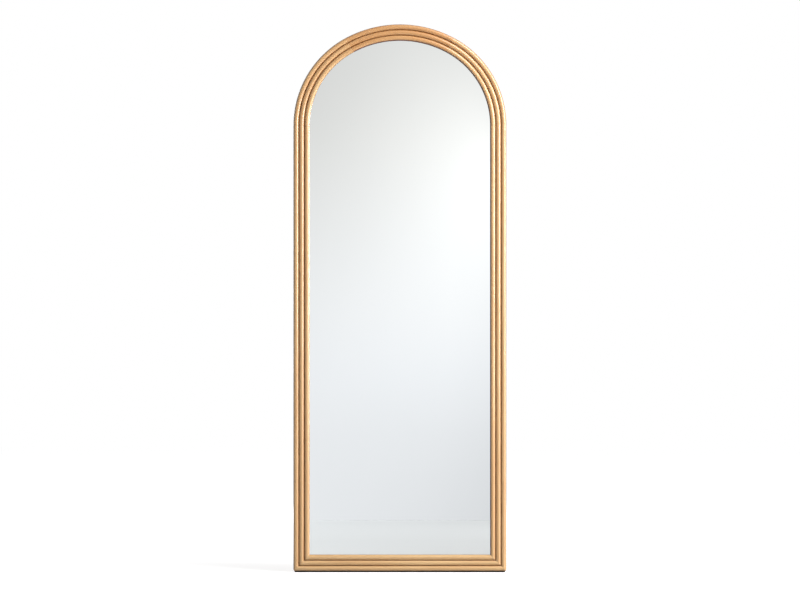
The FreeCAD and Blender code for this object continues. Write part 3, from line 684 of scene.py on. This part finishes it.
class MIRROR_OT_joinery(bpy.types.Operator):
    """Finish the dowels and the corner splines"""

    bl_idname = "mirror.joinery"
    bl_label = "Joinery"

    def execute(self, context):
        angle = context.scene.mirror_moulding.haunch_angle
        for name, side in SIDES.items():
            cover(plain_wood(f"Raw beech spring {name}", 0.0), f"spring_dowels_{name}")
            cover(plain_wood(f"Raw beech crown {name}", -side * angle), f"crown_dowels_{name}")
            cover(plain_wood(f"Raw beech corner {name}", side * math.pi / 4), f"corner_spline_{name}")
        return {"FINISHED"}


class MIRROR_OT_hardware(bpy.types.Operator):
    """Finish the screws, the straps and the rings"""

    bl_idname = "mirror.hardware"
    bl_label = "Hardware"

    def execute(self, context):
        kinds = "hanger_strap", "hanger_ring", "hanger_screws"
        cover(zinc_steel(), "backing_screws", *(f"{kind}_{name}" for kind in kinds for name in SIDES))
        return {"FINISHED"}


class MIRROR_OT_rubber(bpy.types.Operator):
    """Make the floor strip and the bumpers, and finish the setting blocks"""

    bl_idname = "mirror.rubber"
    bl_label = "Rubber"

    def execute(self, context):
        sizes, rubber = context.scene.mirror_rubber, moulded_rubber()
        cover(rubber, *(f"setting_block_{name}" for name in SIDES))
        strip = loft("floor_strip_rubber", strip_rings(sizes, *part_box("floor_strip")), rubber)
        finish_piece(strip, "black_rubber", "floor_strip")
        for node in (f"bumper_{place}_{name}" for place in ("upper", "lower") for name in SIDES):
            low, high = (np.array(corner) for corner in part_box(node))
            profile = bumper_profile(sizes, (high[0] - low[0]) / 2, high[1] - low[1])
            rings = turned(profile, ((low[0] + high[0]) / 2, low[1], (low[2] + high[2]) / 2))
            finish_piece(loft(f"{node}_rubber", rings, rubber), "black_rubber", node)
        return {"FINISHED"}


def lamp(name, place, size, power):
    """Rectangular softbox at a place, turned towards the mirror."""
    data = bpy.data.lights.new(name, "AREA")
    data.shape = "RECTANGLE"
    data.size, data.size_y = size
    data.energy = power
    light = bpy.data.objects.new(name, data)
    light.location = place
    x, y, z = np.array(LAMP_TARGET) - np.array(place)
    light.rotation_euler = (math.atan2(math.hypot(x, y), -z), 0.0, math.atan2(y, x) - math.pi / 2)
    bpy.context.scene.collection.objects.link(light)


def seen_as(tree, kinds=("Camera", "Glossy", "Transmission"), deepest=1):
    """1 for what is seen by rays of these kinds, and 0 for what only lights other things.

    Light that the pane throws on to the wood comes by a further ray than the deepest, so it counts as light.
    """
    path = add(tree, "LightPath").outputs
    seen = path[f"Is {kinds[0]} Ray"]
    for kind in kinds[1:]:
        seen = add(tree, "Math", {0: seen, 1: path[f"Is {kind} Ray"]}, operation="MAXIMUM")
    first = add(tree, "Math", {0: path["Ray Depth"], 1: deepest + 0.5}, operation="LESS_THAN")
    return add(tree, "Math", {0: seen, 1: first}, operation="MULTIPLY")


def studio_world(front_fill, rear_fill):
    """White for the camera, in gloss and through glass, and for all else a soft light, stronger from behind."""
    world = bpy.data.worlds.new("Studio")
    bpy.context.scene.world = world
    world.use_nodes = True
    tree = world.node_tree
    tree.nodes.clear()
    direction = add(tree, "TexCoord").outputs["Generated"]
    depth = add(tree, "SeparateXYZ", {0: direction}).outputs["Y"]
    fill = add(tree, "MapRange", {0: depth, 2: 0.6, 3: front_fill, 4: rear_fill})
    # a ray that leaves the studio counts one step more than one that meets a surface
    level = add(tree, "MapRange", {0: seen_as(tree, deepest=2), 3: fill, 4: 1.0})
    add(tree, "OutputWorld", {"Surface": add(tree, "Background", {"Color": WHITE, "Strength": level})})


def pale_floor():
    """Painted studio floor: white for the camera, with the mirror's soft shadow kept in it.

    Its glow makes up for the lamps where their light runs out. In the pane it meets the tone at the foot of the
    card, leaning the same way, and turns white beside and beyond the card.
    """
    material, tree = new_material("Painted floor")
    place = add(tree, "TexCoord").outputs["Object"]
    far = add(tree, "VectorMath", {0: place}, operation="LENGTH").outputs["Value"]
    across = add(tree, "SeparateXYZ", {0: place}).outputs["X"]
    side = add(tree, "Math", {0: across}, operation="ABSOLUTE")
    before = add(tree, "MapRange", {0: far, 1: 1.9, 2: 3.5, 3: 0.235, 4: 0.37})
    lean = add(tree, "MapRange", {0: across, 1: -0.4, 2: 0.4, 3: 0.105, 4: -0.105})
    before = add(tree, "Math", {0: before, 1: lean})
    beyond = add(tree, "MapRange", {0: far, 1: 3.6, 2: 4.6})
    beside = add(tree, "MapRange", {0: side, 1: WHITE_FROM, 2: WHITE_AT})
    beyond = add(tree, "Math", {0: beyond, 1: beside}, operation="MAXIMUM")
    mirrored = seen_as(tree, ("Glossy", "Transmission"))
    reflected = add(tree, "MapRange", {0: beyond, 3: before, 4: 0.90})
    reflected = add(tree, "Math", {0: reflected, 1: mirrored}, operation="MULTIPLY")
    direct = add(tree, "MapRange", {0: far, 1: 0.4, 2: 2.0, 3: 0.78, 4: 0.92})
    level = add(tree, "Math", {0: direct, 1: seen_as(tree, ("Camera",)), 2: reflected},
                operation="MULTIPLY_ADD")
    shade = tinted(tree, WHITE, tinted(tree, linear("#F8FCFF"), WHITE, beyond), mirrored)
    glow = add(tree, "Emission", {"Color": shade, "Strength": level})
    paint = add(tree, "BsdfDiffuse", {"Color": (0.5, 0.5, 0.5)})
    add(tree, "OutputMaterial", {"Surface": add(tree, "AddShader", {0: paint, 1: glow})})
    return material


def glowing_card():
    """Glowing card, seen only in reflections: a painted pool of light, right of the middle, on a painted
    falloff that darkens upward and to the right.

    The glow fades out to white at the sides and the top.
    """
    material, tree = new_material("Graduated paper")
    place = add(tree, "TexCoord").outputs["Object"]
    across, _, height = add(tree, "SeparateXYZ", {0: place}).outputs
    tone = add(tree, "MapRange", {0: height, 1: 0.5, 2: 1.9, 3: 0.70, 4: 0.43}, interpolation_type="SMOOTHSTEP")
    tone = add(tree, "Math", {0: tone, 1: add(tree, "MapRange", {0: height, 2: 0.35, 3: 0.035, 4: 0.0})})
    tone = add(tree, "Math", {0: across, 1: -0.295, 2: tone}, operation="MULTIPLY_ADD")
    middle = add(tree, "Mapping", {"Vector": place, "Location": (0.36, 0.0, 1.45), "Scale": (1.53, 1e3, 2.6)},
                 vector_type="TEXTURE")
    # painted pool of light right of the middle
    cloud = add(tree, "TexGradient", {0: middle}, gradient_type="QUADRATIC_SPHERE").outputs["Fac"]
    tone = add(tree, "Math", {0: cloud, 1: 0.80, 2: tone}, operation="MULTIPLY_ADD")
    side = add(tree, "Math", {0: across}, operation="ABSOLUTE")
    beside = add(tree, "MapRange", {0: side, 1: WHITE_FROM, 2: WHITE_AT})
    above = add(tree, "MapRange", {0: height, 1: 2.3, 2: 3.5})
    fade = add(tree, "Math", {0: beside, 1: above}, operation="MAXIMUM")
    level = add(tree, "MapRange", {0: fade, 3: tone, 4: 1.0})
    level = add(tree, "Math", {0: level, 1: seen_as(tree)}, operation="MULTIPLY")
    shade = tinted(tree, linear("#FBFCFF"), linear("#FFFEFC"), height, 0.6, 1.6)
    shade = tinted(tree, shade, WHITE, fade)
    add(tree, "OutputMaterial", {"Surface": add(tree, "Emission", {"Color": shade, "Strength": level})})
    return material


class MIRROR_OT_studio(bpy.types.Operator):
    """Set up the floor, the light and the camera"""

    bl_idname = "mirror.studio"
    bl_label = "Studio"

    def execute(self, context):
        scene, studio = context.scene, context.scene.mirror_studio
        scene.view_settings.view_transform = "Standard"
        studio_world(studio.front_fill, studio.rear_fill)
        half = FLOOR_REACH
        floor = put("studio_floor", [(-half, -half, 0), (half, -half, 0), (half, half, 0), (-half, half, 0)],
                    [(0, 1, 2, 3)], pale_floor())
        side, top, place = CARD_SIDE, CARD_TOP, -studio.card_distance
        card = put("reflection_card",
                   [(side, place, 0), (-side, place, 0), (-side, place, top), (side, place, top)],
                   [(0, 1, 2, 3)], glowing_card())
        card.visible_camera = card.visible_diffuse = card.visible_shadow = False
        card.visible_transmission = card.visible_volume_scatter = False
        for name, (place, size, power) in LAMPS.items():
            lamp(name, place, size, getattr(studio, power))
        data = bpy.data.cameras.new("Camera")
        data.lens = studio.focal_length
        data.sensor_width = 36.0
        data.clip_end = 60.0
        camera = bpy.data.objects.new("Camera", data)
        camera.location = (studio.camera_side, -studio.camera_distance, studio.camera_height)
        camera.rotation_euler = (math.pi / 2, 0.0, 0.0)
        scene.collection.objects.link(camera)
        scene.camera = camera
        return {"FINISHED"}


class MIRROR_PT_panel(bpy.types.Panel):
    """Lists what makes the mirror, and its sizes and colours"""

    bl_idname = "MIRROR_PT_panel"
    bl_label = "Floor mirror"
    bl_space_type = "VIEW_3D"
    bl_region_type = "UI"
    bl_category = "Mirror"

    def draw(self, context):
        for operator in OPERATORS:
            self.layout.operator(operator.bl_idname)
        for attribute, group in GROUPS.items():
            box = self.layout.box()
            for name in group.__annotations__:
                box.prop(getattr(context.scene, attribute), name)


OPERATORS = (MIRROR_OT_reeded_frame, MIRROR_OT_pane, MIRROR_OT_back, MIRROR_OT_joinery, MIRROR_OT_hardware,
             MIRROR_OT_rubber, MIRROR_OT_studio)


def register():
    for made in (*GROUPS.values(), *OPERATORS, MIRROR_PT_panel):
        bpy.utils.register_class(made)
    for attribute, group in GROUPS.items():
        setattr(bpy.types.Scene, attribute, bpy.props.PointerProperty(type=group))


def unregister():
    for attribute in GROUPS:
        delattr(bpy.types.Scene, attribute)
    for made in reversed((*GROUPS.values(), *OPERATORS, MIRROR_PT_panel)):
        bpy.utils.unregister_class(made)


def main():
    """Make every piece and the studio."""
    register()
    for operator in OPERATORS:
        group, name = operator.bl_idname.split(".")
        getattr(getattr(bpy.ops, group), name)()


if __name__ == "__main__":
    main()
